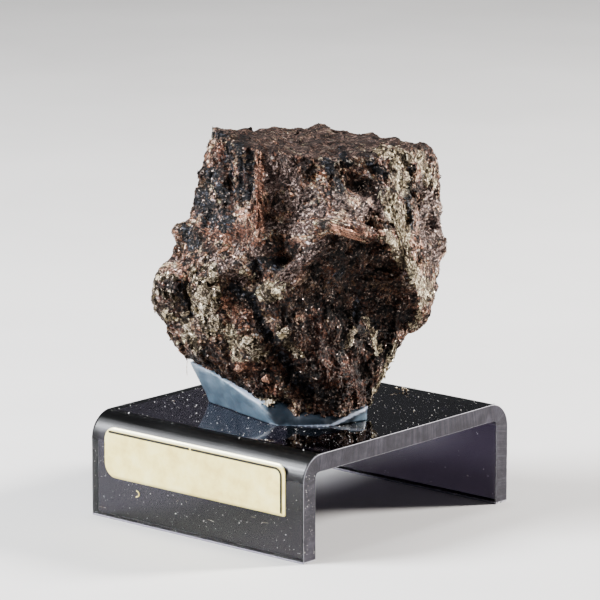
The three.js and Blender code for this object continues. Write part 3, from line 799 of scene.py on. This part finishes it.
def make_splinters(stone):
    """Long thin splinters, lying along the ribs of the stone's front."""
    rng = np.random.default_rng(14)
    places, normals = surface(stone)
    in_front = facing_front(normals) > 0.6
    picked, headings, zones = [], [], []
    for zone, *mark, count in SPLINTERS:
        near = in_front & (marked(seen_from_front(places), [mark]) > 0.5)
        picked.append(rng.choice(np.flatnonzero(near), count))
        across, up = np.subtract(mark[2:4], mark[:2])
        headings.append(np.tile(across * ACROSS + up * UP, (count, 1)))
        zones += [zone] * count
    picked, headings = np.concatenate(picked), np.concatenate(headings)
    size = rng.uniform(0.5, 1.0, (len(picked), 1)) * [1.6, 0.24, 0.24]
    outward = tilted(rng, normals[picked], 0.12)
    parts = laid(rng, 16, 8, places[picked], outward, headings, size)
    extra = {**only_in(zones), "hollow": np.zeros(len(picked)),
             "chip": rng.uniform(0.45, 1, len(picked))}
    chip_piece("rock_splinters", stone, parts, picked, extra)


# The salmon lip over the hollow: where it runs (across, up), and the strands side by side in it.
LIP_ROUTE = [(4.9, 29.8), (6.8, 29.4), (8.5, 29.0), (10.2, 28.7), (11.8, 28.6), (13.3, 28.6)]
LIP_STATIONS = 34  # points along each strand, fewer where one stops short
LIP_STRANDS = 11
LIP_STRAND_RADIUS = (0.13, 0.22)  # the least and the most
LIP_WIDTH = 0.75
LIP_PROUD = 1.0  # how far the middle strands stand out of the stone


def make_lip(stone):
    """The smooth salmon lip above the hollow: long strands side by side along a curve."""
    rng = np.random.default_rng(16)
    places, normals = surface(stone)
    share = np.linspace(0, 1, LIP_STATIONS)
    knots = np.linspace(0, 1, len(LIP_ROUTE))
    line = np.stack([np.interp(share, knots, values) for values in zip(*LIP_ROUTE)], axis=1)
    powers = share[:, None] ** np.arange(5)
    proud = LIP_PROUD * (1 - (2 * share[:, None] - 1) ** 4)
    parts = []
    for side in np.linspace(-0.5, 0.5, LIP_STRANDS):
        spots = spots_on_front(stone, line + [0, LIP_WIDTH * side])
        on_stone = places[spots] + proud * (1 - 0.5 * abs(side)) * normals[spots]
        smooth = powers @ np.linalg.lstsq(powers, on_stone, rcond=None)[0]
        first, last = rng.integers(0, 9), LIP_STATIONS - rng.integers(0, 6)
        parts.append(thread(smooth[first:last], rng.uniform(*LIP_STRAND_RADIUS)))
    picked = np.repeat(spots[:1], LIP_STRANDS)
    extra = {**only_in(["rust"] * LIP_STRANDS), "hollow": np.zeros(LIP_STRANDS),
             "chip": rng.uniform(0.5, 1.2, LIP_STRANDS), "clean": np.full(LIP_STRANDS, 0.6)}
    chip_piece("salmon_lip", stone, parts, picked, extra)


# ---- The putty ----

# Marks where the putty is painted darker as painted shade, and where its edges get painted highlights.
PUTTY_SHADE = [(-4.2, 0.6, -3.2, -1.4, 1.4), (-3.0, -0.4, 6.4, -1.6, 2.0),
               (6.4, -1.4, 10.2, 0.6, 1.3)]
PUTTY_SHINE = [(-11.7, 4.3, -8.4, 1.9, 0.4), (-8.4, 1.9, -6.6, 0.9, 0.3),
               (-5.0, -2.7, -3.6, -3.1, 0.35), (-3.6, -3.1, 5.0, -2.8, 0.25),
               (5.0, -2.8, 11.4, 0.2, 0.24)]
PUTTY_TINTS = [  # attribute, where its tint starts and where it is full, how strong, colour
    ("lip", 0.2, 0.9, 0.7, (0.32, 0.38, 0.45)), ("shade", 0.1, 0.7, 0.95, (0.011, 0.017, 0.025)),
    ("shine", 0.1, 0.9, 0.7, (0.44, 0.49, 0.6)),
]
PUTTY_VOXEL, PUTTY_SMOOTHING = 0.28, 14
STONE_FOOT = 10  # the putty can only touch the stone below this, above the stand's top
PUTTY_LIP = 1.1  # how far from the stone the putty's thin lip, painted lighter as a highlight, reaches
SEATED = 0.4  # how far the putty's foot is pressed down, onto the stand
FOOT_FROM, FOOT_FADE = 1.8, 1.5  # how high the pressing starts, and how far down it is full


def putty_material():
    s = Shader("putty")
    film = s.noise(0.5, 4.0)
    colour = s.ramp(s.noise(6.0, 3.0), (0.3, (0.07, 0.1, 0.132)), (0.52, (0.105, 0.146, 0.188)),
                    (0.7, (0.15, 0.2, 0.25)))
    # The lip and shine tints are painted highlights; the shade tint is painted shade.
    for mark, start, full, strength, tint in PUTTY_TINTS:
        colour = s.mix(s.span(s.attribute(mark), start, full, 0.0, strength), colour, tint)
    return s.done(Base_Color=colour, Roughness=s.span(film, 0.3, 0.7, 0.34, 0.46),
                  Normal=s.bump(s.weighted(film, 0.1, s.noise(2.2, 2.0)), 0.1),
                  Specular_IOR_Level=0.4, Subsurface_Weight=0.08, Subsurface_Scale=0.001)


def distances(points, target):
    """How far each point is from the nearest of the target's."""
    tree = KDTree(len(target))
    for number, point in enumerate(target):
        tree.insert(point, number)
    tree.balance()
    return np.array([tree.find(point)[2] for point in points])


def make_putty(stone):
    putty = merged_copy("mounting_putty", "putty")
    rework(putty.data, keep_hull)
    voxel_remesh(putty, PUTTY_VOXEL)
    smooth_out(putty, PUTTY_SMOOTHING)
    points, normals = surface(putty)
    points += normals * layered(points, (0.22, 4.5, 5.0), (0.1, 1.8, 9.0))[:, None]
    points[:, 2] -= SEATED * np.clip((STAND_TOP + FOOT_FROM - points[:, 2]) / FOOT_FADE, 0, 1)
    points[:, 2] = np.maximum(points[:, 2], STAND_TOP + 0.01)
    move_points(putty, points)
    shade(putty.data, True)
    stone_points, _ = surface(stone)
    near_putty = stone_points[stone_points[:, 2] < STAND_TOP + STONE_FOOT]
    seen = seen_from_front(points)
    facing = facing_front(surface(putty)[1])
    # Painted shade on the putty's front under the stone, and painted highlights on its lip and edges.
    smears_and_painted_shade = marked(seen, PUTTY_SHADE, 0.4 * soft_noise(points, 2.0))
    store(putty, lip=np.clip(1 - distances(points, near_putty) / PUTTY_LIP, 0, 1),
          shade=facing * smears_and_painted_shade, shine=facing * marked(seen, PUTTY_SHINE))
    return finished(putty, putty_material(), "mounting_putty")


# ---- The acrylic stand ----

SMOKE = (0.40, 0.37, 0.44)
SMOKE_DENSITY = 1600.0
ACRYLIC = {"IOR": 1.49, "Specular_IOR_Level": 0.32}
FOOT_EDGE, WORN_FOOT = 0.26, 0.3  # each leg's lower edge is scuffed, fading between these heights


def acrylic_shader(name):
    s = Shader(name)
    smoke = s.add("VolumeAbsorption", None, Color=SMOKE, Density=SMOKE_DENSITY)
    s.put(s.output.inputs["Volume"], smoke.outputs[0])
    return s


def polished_material():
    s = acrylic_shader("polished_acrylic")
    smears_and_painted_shade = s.noise(6.0, 4.0, s.stretched((1, 0.5, 1)))
    worn = s.product(s.attribute("worn"), s.span(s.noise(0.8, 4.0), 0.3, 0.5, 0.7, 1.0))
    colour = s.mix(worn, (0.92, 0.91, 0.95), (0.3, 0.285, 0.335))
    drawn = s.span(s.noise(0.5, 3.0, s.stretched((0.02, 1, 1))), 0.3, 0.7, 0.28, 0.44)
    haze = s.weighted(s.attribute("bent"), drawn, s.span(smears_and_painted_shade, 0.45, 0.8, 0.015, 0.09))
    return s.done(Base_Color=colour, Transmission_Weight=s.span(worn, 0.0, 0.6, 1.0, 0.0),
                  Roughness=s.weighted(worn, 0.5, haze), Normal=s.bump(s.noise(9.0, 2.0), 0.05),
                  **ACRYLIC)


def sawn_material():
    s = acrylic_shader("sawn_acrylic")
    along = s.add("CombineXYZ", None, X=s.attribute("along")).outputs[0]
    lines = s.weighted(s.noise(0.13, 3.0, along), 0.7, s.product(s.noise(0.7, 4.0, along), 0.8))
    tone = s.weighted(lines, 0.5, s.product(s.noise(2.5, 3.0), 0.5))
    colour = s.ramp(tone, (0.4, (0.012, 0.0105, 0.016)), (0.62, (0.034, 0.03, 0.043)),
                    (0.85, (0.11, 0.1, 0.135)))
    chipped = s.product(s.attribute("worn"), s.span(s.noise(0.4, 3.0), 0.3, 0.5))
    colour = s.mix(chipped, colour, (0.7, 0.69, 0.74))
    return s.done(Base_Color=colour, Transmission_Weight=0.45, Roughness=0.6,
                  Normal=s.bump(lines, 0.12), **ACRYLIC)


def bridge_stations():
    """Points along the bent sheet: outside (y, z), inside (y, z) and the way along, front to back."""
    half, top = STAND_HIGH[1], STAND_TOP
    in_half, ceiling = half - SHEET, top - SHEET
    out_centre = np.array([half - BEND_OUTSIDE, top - BEND_OUTSIDE])
    in_centre = np.array([in_half - BEND_INSIDE, ceiling - BEND_INSIDE])
    pairs = []
    shares = np.array([0, FOOT_EDGE, WORN_FOOT]) / out_centre[1]
    for share in [*shares, *np.linspace(0, 1, 27)[1:-1]]:
        pairs.append(((half, out_centre[1] * share), (in_half, in_centre[1] * share)))
    for angle in np.linspace(0, math.pi / 2, 17):
        way = np.array([math.cos(angle), math.sin(angle)])
        pairs.append((out_centre + BEND_OUTSIDE * way, in_centre + BEND_INSIDE * way))
    for share in np.linspace(0, 1, 33)[1:]:
        pairs.append(((out_centre[0] * (1 - share), top), (in_centre[0] * (1 - share), ceiling)))
    back = np.array(pairs)
    front = back[-2::-1] * [-1, 1]
    outside, inside = np.concatenate([back, front]).transpose(1, 0, 2)
    steps = np.linalg.norm(np.diff(outside, axis=0), axis=1)
    return outside, inside, np.concatenate([[0], np.cumsum(steps)])


def grid_faces(numbers, flip=False):
    """Quads over a grid of point numbers."""
    a, b, c, d = numbers[:-1, :-1], numbers[1:, :-1], numbers[1:, 1:], numbers[:-1, 1:]
    quads = np.stack([a, b, c, d], axis=-1).reshape(-1, 4)
    return (quads[:, ::-1] if flip else quads).tolist()


LAYERS = np.array([0, 0.04, 0.2, 0.4, 0.6, 0.8, 0.96, 1])  # across the sheet, inside to outside
ARRIS, ARRIS_CHIPS = 0.07, 0.22  # how far the sheet's edges are broken, and more where chipped
SAWN_WAVE, TOP_WAVE = 0.05, 0.05  # how uneven the sawn edges and the top are
EDGE_COLUMNS = np.array([0, 0.12, 0.5])  # how far in from each sawn edge the first points lie


def make_stand():
    outside, inside, along = bridge_stations()
    half = STAND_HIGH[0]
    across = np.concatenate([EDGE_COLUMNS - half, np.linspace(2 - half, half - 2, 24),
                             half - EDGE_COLUMNS[::-1]])
    shape = (len(along), len(LAYERS), len(across))
    points = np.empty(shape + (3,))
    points[..., 0] = across
    yz = inside[:, None] + LAYERS[None, :, None] * (outside - inside)[:, None]
    points[..., 1:] = yz[:, :, None]
    whole = points.reshape(-1, 3)
    chip, wave = (soft_noise(whole, size).reshape(shape) for size in (0.7, 14))
    arris = ARRIS + ARRIS_CHIPS * np.clip(chip - 0.25, 0, 1)
    side, layer = np.zeros(shape), np.zeros(shape)
    side[:, :, 0], side[:, :, -1] = 1, -1
    layer[:, 0], layer[:, -1] = 1, -1
    corner = (side != 0) & (layer != 0)
    outward = (outside - inside)[:, None, None] / SHEET
    points[..., 0] += np.where(corner, side * arris, side * SAWN_WAVE * np.abs(chip))
    points[..., 1:] += np.where(corner, layer * arris, 0)[..., None] * outward
    points[..., 2] += np.where(points[..., 2] > SHEET, TOP_WAVE * wave, 0)
    number = np.arange(len(whole)).reshape(shape)
    polished = grid_faces(number[:, -1], True) + grid_faces(number[:, 0])
    sawn = grid_faces(number[:, :, 0]) + grid_faces(number[:, :, -1], True)
    sawn += grid_faces(number[0]) + grid_faces(number[-1], True)
    used, faces = np.unique(np.array(polished + sawn), return_inverse=True)
    faces = faces.reshape(-1, 4)
    piece = mesh_object("acrylic_bridge", points.reshape(-1, 3)[used], faces.tolist())
    rework(piece.data, face_outward)
    worn = corner.copy()
    worn[:2], worn[-2:] = True, True
    bends = STAND_HIGH[1:] - BEND_OUTSIDE
    bent = (outside > bends).all(1) | (outside * [-1, 1] > bends).all(1)
    for name, values in (("along", along), ("worn", worn), ("bent", bent)):
        if values.ndim == 1:
            values = np.broadcast_to(values[:, None, None], shape)
        store(piece, **{name: values.reshape(-1)[used]})
    finished(piece, [polished_material(), sawn_material()], "acrylic_stand")
    is_polished = np.arange(len(faces)) < len(polished)
    piece.data.polygons.foreach_set("material_index", (~is_polished).astype(int))
    piece.data.polygons.foreach_set("use_smooth", is_polished)


# ---- The foil label ----

LABEL_LOW, LABEL_HIGH = (np.array(corner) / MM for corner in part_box("name_label"))
LABEL_CORNERS = {"low left": 2.4, "high left": 2.4, "low right": 0.4, "high right": 1.6}
FOIL, FOIL_BULGE = 0.12, 0.05  # thickness at its rim, and how much more within
INK_PROUD = 0.07  # in front of the plain label, so that the foil's dents stay behind it


def foil_material():
    s = Shader("foil")
    mottle = s.noise(3.0, 5.0)
    specks = s.span(s.cells(0.42).outputs["Distance"], 0.03, 0.14, 1.0, 0.0)
    worn = s.product(specks, s.span(s.noise(2.2, 2.0), 0.5, 0.62))
    height = s.add("SeparateXYZ", None, Vector=s.place).outputs["Z"]
    # Painted highlight: a paler strip along the label's top edge.
    shine = s.span(height, LABEL_HIGH[2] - 0.75, LABEL_HIGH[2] - 0.45)
    colour = s.ramp(mottle, (0.3, (0.79, 0.65, 0.24)), (0.5, (0.91, 0.79, 0.33)),
                    (0.7, (0.96, 0.87, 0.44)))
    colour = s.mix(shine, colour, (0.95, 0.9, 0.62))
    colour = s.mix(s.product(worn, 0.55), colour, (0.2, 0.16, 0.09))
    return s.done(Base_Color=colour, Metallic=0.25, Roughness=s.span(mottle, 0.3, 0.7, 0.34, 0.5),
                  Normal=s.bump(s.noise(0.6, 4.0), 0.02))


def ink_material():
    s = Shader("ink")
    colour = s.ramp(s.noise(1.2, 3.0), (0.3, (0.006, 0.0055, 0.004)), (0.7, (0.03, 0.025, 0.015)))
    return s.done(Base_Color=colour, Roughness=0.5)


def label_columns():
    """For each column across the label: its place, and the heights of its lower and upper ends."""
    width, height = LABEL_HIGH[0] - LABEL_LOW[0], LABEL_HIGH[2] - LABEL_LOW[2]
    quarter = np.linspace(0, math.pi / 2, 9)
    left = LABEL_CORNERS["low left"] * (1 - np.cos(quarter))
    right = width - LABEL_CORNERS["high right"] * (1 - np.cos(quarter[::-1]))
    places = np.concatenate([left, np.linspace(left[-1], right[0], 70)[1:-1], right])

    def inset(radius, from_end):
        reach = np.clip(radius - from_end, 0, radius)
        return radius - np.sqrt(radius ** 2 - reach ** 2)

    low = inset(LABEL_CORNERS["low left"], places)
    low += inset(LABEL_CORNERS["low right"], width - places)
    high = height - inset(LABEL_CORNERS["high left"], places)
    high -= inset(LABEL_CORNERS["high right"], width - places)
    return LABEL_LOW[0] + places, LABEL_LOW[2] + low, LABEL_LOW[2] + high


def make_label():
    places, low, high = label_columns()
    rows = np.linspace(0, 1, 19)
    x = np.repeat(places[:, None], len(rows), axis=1)
    z = low[:, None] + rows * (high - low)[:, None]
    rim = np.ones_like(x)
    rim[0], rim[-1], rim[:, 0], rim[:, -1] = 0, 0, 0, 0
    flat = np.stack([x, np.zeros_like(x), z], axis=-1).reshape(-1, 3)
    dents = layered(flat, (0.035, 5.0, 2.0), (0.02, 1.3, 6.0)).reshape(x.shape)
    front, back = flat.copy(), flat.copy()
    front[:, 1] = (LABEL_HIGH[1] - FOIL - rim * (FOIL_BULGE + dents)).ravel()
    back[:, 1] = LABEL_HIGH[1]
    number = np.arange(len(flat)).reshape(x.shape)
    faces = grid_faces(number) + grid_faces(number + len(flat), True)
    edge = np.concatenate([number[:, 0], number[-1, 1:], number[-2::-1, -1], number[0, -2:0:-1]])
    after = np.roll(edge, -1)
    faces += np.stack([edge + len(flat), after + len(flat), after, edge], axis=1).tolist()
    piece = mesh_object("foil_label", np.concatenate([front, back]), faces, smooth=True)
    rework(piece.data, face_outward)
    finished(piece, foil_material(), "name_label")


BORDER_INSET, BORDER_WIDTH = 0.88, 0.36  # the printed border, in from the label's edge
BORDER_BREAK, HALF_BREAK = -0.94, 0.2  # where across the label the border is broken, and how wide


def strip(route):
    """A thin printed line along a route of (x, z) on the label's front."""
    route = np.array(route, dtype=float)
    way = np.gradient(route, axis=0)
    way /= np.linalg.norm(way, axis=1)[:, None]
    beside = np.stack([-way[:, 1], way[:, 0]], axis=1) * BORDER_WIDTH / 2
    front = LABEL_LOW[1] - INK_PROUD
    points = [(x, front, z) for side in (-1, 1) for x, z in route + side * beside]
    count = len(route)
    faces = [(i, i + 1, i + 1 + count, i + count) for i in range(count - 1)]
    return points, faces


def border_routes():
    """Along the label's top to the break, and on round its upper right corner and down."""
    radius = LABEL_CORNERS["high right"] - 0.4
    right, top = LABEL_HIGH[0] - BORDER_INSET, LABEL_HIGH[2] - BORDER_INSET
    first = [(x, top) for x in np.linspace(LABEL_LOW[0] + 1.0, BORDER_BREAK - HALF_BREAK, 12)]
    second = [(x, top) for x in np.linspace(BORDER_BREAK + HALF_BREAK, right - radius, 12)]
    second += [(right - radius + radius * math.cos(angle), top - radius + radius * math.sin(angle))
               for angle in np.linspace(math.pi / 2, 0, 9)[1:-1]]
    second += [(right, z) for z in np.linspace(top - radius, LABEL_LOW[2] + 0.5, 12)]
    return first, second


def make_border():
    piece = mesh_object("printed_border", *joined([strip(route) for route in border_routes()]))
    finished(piece, ink_material())


# ---- Dust and crumbs ----

def chip_shapes(rng, centres, sizes, flatness=0.6):
    """Small angular chips: eight-sided lumps of random corners."""
    corners = np.concatenate([np.eye(3)[:2], -np.eye(3)[:2], np.eye(3)[2:], -np.eye(3)[2:]])
    upper = [(0, 1, 4), (1, 2, 4), (2, 3, 4), (3, 0, 4)]
    faces = upper + [(b, a, 5) for a, b, _ in upper]
    parts = []
    for centre, size in zip(centres, sizes):
        turn = np.linalg.qr(rng.normal(size=(3, 3)))[0]
        turn *= np.sign(np.linalg.det(turn))
        shape = corners * rng.uniform(0.5, 1.0, (6, 1)) * [1, flatness, flatness]
        parts.append((centre + size * shape @ turn, faces))
    return joined(parts)


def dust_material():
    s = Shader("dust")
    tone = s.channel(s.cell_colour(0.8), 0)
    colour = s.ramp(tone, (0.1, (0.6, 0.57, 0.54)), (0.9, (0.95, 0.94, 0.93)))
    return s.done(Base_Color=colour, Roughness=0.8)


DUST_RISE = 0.03  # how far the specks' middles lie off the surface
LARGEST_SPECK = 0.28


def dust_patches():
    """For the stand's top, front leg, sawn edge and back leg's inside: how many specks, and their
    x, y and z, each one number or a low and a high one."""
    half, deep, top = STAND_HIGH
    return [
        (1150, (-half, half), (-deep + 3, deep - 3), top + DUST_RISE),
        (620, (-half, half), -deep - DUST_RISE, (0.5, top - 5)),
        (90, half + DUST_RISE, (-deep, -deep + 3), (0.5, top - 3)),
        (150, (-half, half), deep - SHEET - DUST_RISE, (0.4, top - SHEET - 1)),
    ]


def make_dust():
    rng = np.random.default_rng(7)
    centres = np.concatenate([
        np.stack([rng.uniform(*place, count) if isinstance(place, tuple) else np.full(count, place)
                  for place in xyz], axis=1)
        for count, *xyz in dust_patches()])
    sizes = np.minimum(rng.gamma(1.6, 0.04, len(centres)) + 0.03, LARGEST_SPECK)
    finished(mesh_object("dust_specks", *chip_shapes(rng, centres, sizes)), dust_material())


CRUMB = np.array([5.75, 19.9, STAND_TOP + 0.35])  # on the stand's top, behind the stone
CURL = np.array([-13.1, STAND_LOW[1] - 0.12, 5.3])  # on the front leg, under the label
ON_PUTTY = np.array([-5.2, 0.9])  # across and up: a cluster of crumbs that the putty holds
LOOSE_CRUMBS, HELD_CRUMBS, FIBRES = 14, 90, 18
HAIR_FROM = np.array([-15.9, -10.6, STAND_TOP + 7.2])  # at the tip of the putty


def crumb_material():
    s = Shader("crumb")
    colour = s.ramp(s.channel(s.cell_colour(0.4), 0), (0.1, (0.2, 0.13, 0.08)),
                    (0.5, (0.6, 0.5, 0.36)), (0.9, (0.85, 0.79, 0.66)))
    return s.done(Base_Color=colour, Roughness=0.6, Normal=s.bump(s.noise(0.3, 3.0), 0.05))


def shaving_material():
    s = Shader("shaving")
    colour = s.ramp(s.noise(0.3, 3.0), (0.3, (0.8, 0.62, 0.18)), (0.7, (0.97, 0.88, 0.45)))
    return s.done(Base_Color=colour, Roughness=0.45)


def thread(route, radius, sides=6):
    """A thin round strand along a route of points."""
    route = np.asarray(route)
    way = np.gradient(route, axis=0)
    way /= np.linalg.norm(way, axis=1)[:, None]
    beside = np.cross(way, [0.31, 0.45, 0.84])
    beside /= np.linalg.norm(beside, axis=1)[:, None]
    other = np.cross(way, beside)
    turns = np.linspace(0, 2 * math.pi, sides, endpoint=False)
    rings = [route + radius * (math.cos(t) * beside + math.sin(t) * other) for t in turns]
    points = np.stack(rings, axis=1).reshape(-1, 3)
    number = np.arange(len(points)).reshape(len(route), sides)
    faces = grid_faces(np.concatenate([number, number[:, :1]], axis=1))
    faces += [number[0].tolist(), number[-1, ::-1].tolist()]
    return points, faces


FIBRE_STEPS, FIBRE_RISE = 7, 0.04


def fibre_route(rng):
    """A short curved fibre, lying somewhere on the stand's top or, less often, its front leg."""
    bend, turn, length = rng.uniform(-2, 2), rng.uniform(0, math.pi), rng.uniform(0.8, 2.6)
    angles = turn + bend * np.linspace(0, 1, FIBRE_STEPS)
    along, across = (np.cumsum(way(angles)) * length / FIBRE_STEPS for way in (np.cos, np.sin))
    if rng.uniform() < 0.7:
        x, y = rng.uniform(0.9 * STAND_LOW[:2], 0.9 * STAND_HIGH[:2])
        return np.stack([x + along, y + across, 0 * along + STAND_TOP + FIBRE_RISE], axis=1)
    x, z = rng.uniform((0.9 * STAND_LOW[0], 1.5), (0.9 * STAND_HIGH[0], 6.0))
    return np.stack([x + along, 0 * along + STAND_LOW[1] - FIBRE_RISE, z + 0.3 * across], axis=1)


def make_crumbs(putty):
    """Crumbs of the stone behind it and on the putty, a curled yellow shaving and some fibres."""
    rng = np.random.default_rng(21)
    around = rng.normal(size=(LOOSE_CRUMBS, 3)) * [0.55, 0.45, 0.1]
    chips = chip_shapes(rng, CRUMB + around, rng.uniform(0.18, 0.42, LOOSE_CRUMBS))
    spread = rng.normal(size=(HELD_CRUMBS, 2)) * [0.6, 0.4]
    spots = spots_on_front(putty, ON_PUTTY + spread)
    places, normals = surface(putty)
    held = places[spots] + 0.15 * normals[spots]
    stuck = chip_shapes(rng, held, rng.uniform(0.22, 0.5, HELD_CRUMBS), 0.8)
    angles = np.linspace(-1.1, 1.6, 12)
    curl = CURL + np.stack([0.55 * np.cos(angles) - 0.3 * angles ** 2 * (angles < 0),
                            0 * angles, 0.55 * np.sin(angles)], axis=1)
    sag = np.linspace(0, 1, 10)[:, None]
    hair = HAIR_FROM + sag * [-0.5, -0.3, 0.5] + sag ** 2 * [0.35, 0.2, -2.9]
    fibres = [thread(fibre_route(rng), 0.022, 4) for _ in range(FIBRES)]
    finished(mesh_object("shaving", *thread(curl, 0.12), smooth=True), shaving_material())
    crumbs = mesh_object("crumbs", *joined([chips, stuck, thread(hair, 0.045), *fibres]))
    finished(crumbs, crumb_material())


# ---- Floor, light and camera ----

def floor_material():
    s = Shader("floor")
    colour = s.ramp(s.noise(60.0, 3.0), (0.3, (0.62, 0.61, 0.6)), (0.7, (0.66, 0.65, 0.64)))
    return s.done(Base_Color=colour, Roughness=0.65)


FLOOR_REACH, FLOOR_DROP = 4000.0, 0.02


def make_floor():
    points = [(x * FLOOR_REACH, y * FLOOR_REACH, -FLOOR_DROP)
              for x, y in ((-1, -1), (1, -1), (1, 1), (-1, 1))]
    floor = mesh_object("floor", points, [(0, 1, 2, 3)])
    floor.data.materials.append(floor_material())


def aimed(name, data, place, target):
    """A lamp or camera at a place, turned to a target, both in metres."""
    holder = linked(name, data)
    holder.location = place
    holder.rotation_euler = (Vector(target) - Vector(place)).to_track_quat("-Z", "Y").to_euler()
    return holder


LIT = (0, 0, 0.04)  # where the lamps point
LAMPS = [  # name, place, size, power, colour
    ("right", (0.40, 0.52, 0.31), 0.16, 13.5, (1.0, 0.97, 0.94)),
    ("left", (-0.34, -0.42, 0.40), 0.32, 12.0, (0.95, 0.97, 1.0)),
    ("above", (-0.06, 0.10, 0.85), 0.25, 2.5, (1, 1, 1)),
]


def make_light():
    world = bpy.data.worlds.new("studio")
    world.use_nodes = True
    world.node_tree.nodes["Background"].inputs["Color"].default_value = (0.12, 0.122, 0.13, 1)
    bpy.context.scene.world = world
    for name, place, size, power, colour in LAMPS:
        light = bpy.data.lights.new(name, "AREA")
        light.shape = "DISK"
        light.size, light.energy, light.color = size, power, colour
        aimed(name, light, place, LIT)
    bpy.context.scene.view_settings.look = "AgX - Medium High Contrast"


def make_camera():
    camera = bpy.data.cameras.new("camera")
    camera.lens = 248.47
    camera.sensor_width = 36.0
    camera.clip_start, camera.clip_end = 0.05, 20.0
    place, target = (0.443608, -0.508676, 0.181628), (-0.00019, 0.0, 0.03575)
    bpy.context.scene.camera = aimed("camera", camera, place, target)


make_camera()
make_light()
make_floor()
stone = make_stone()
make_large_crystals(stone)
make_crystals(stone)
make_flakes(stone)
make_grains(stone)
make_splinters(stone)
make_lip(stone)
putty = make_putty(stone)
make_stand()
make_label()
make_border()
make_dust()
make_crumbs(putty)
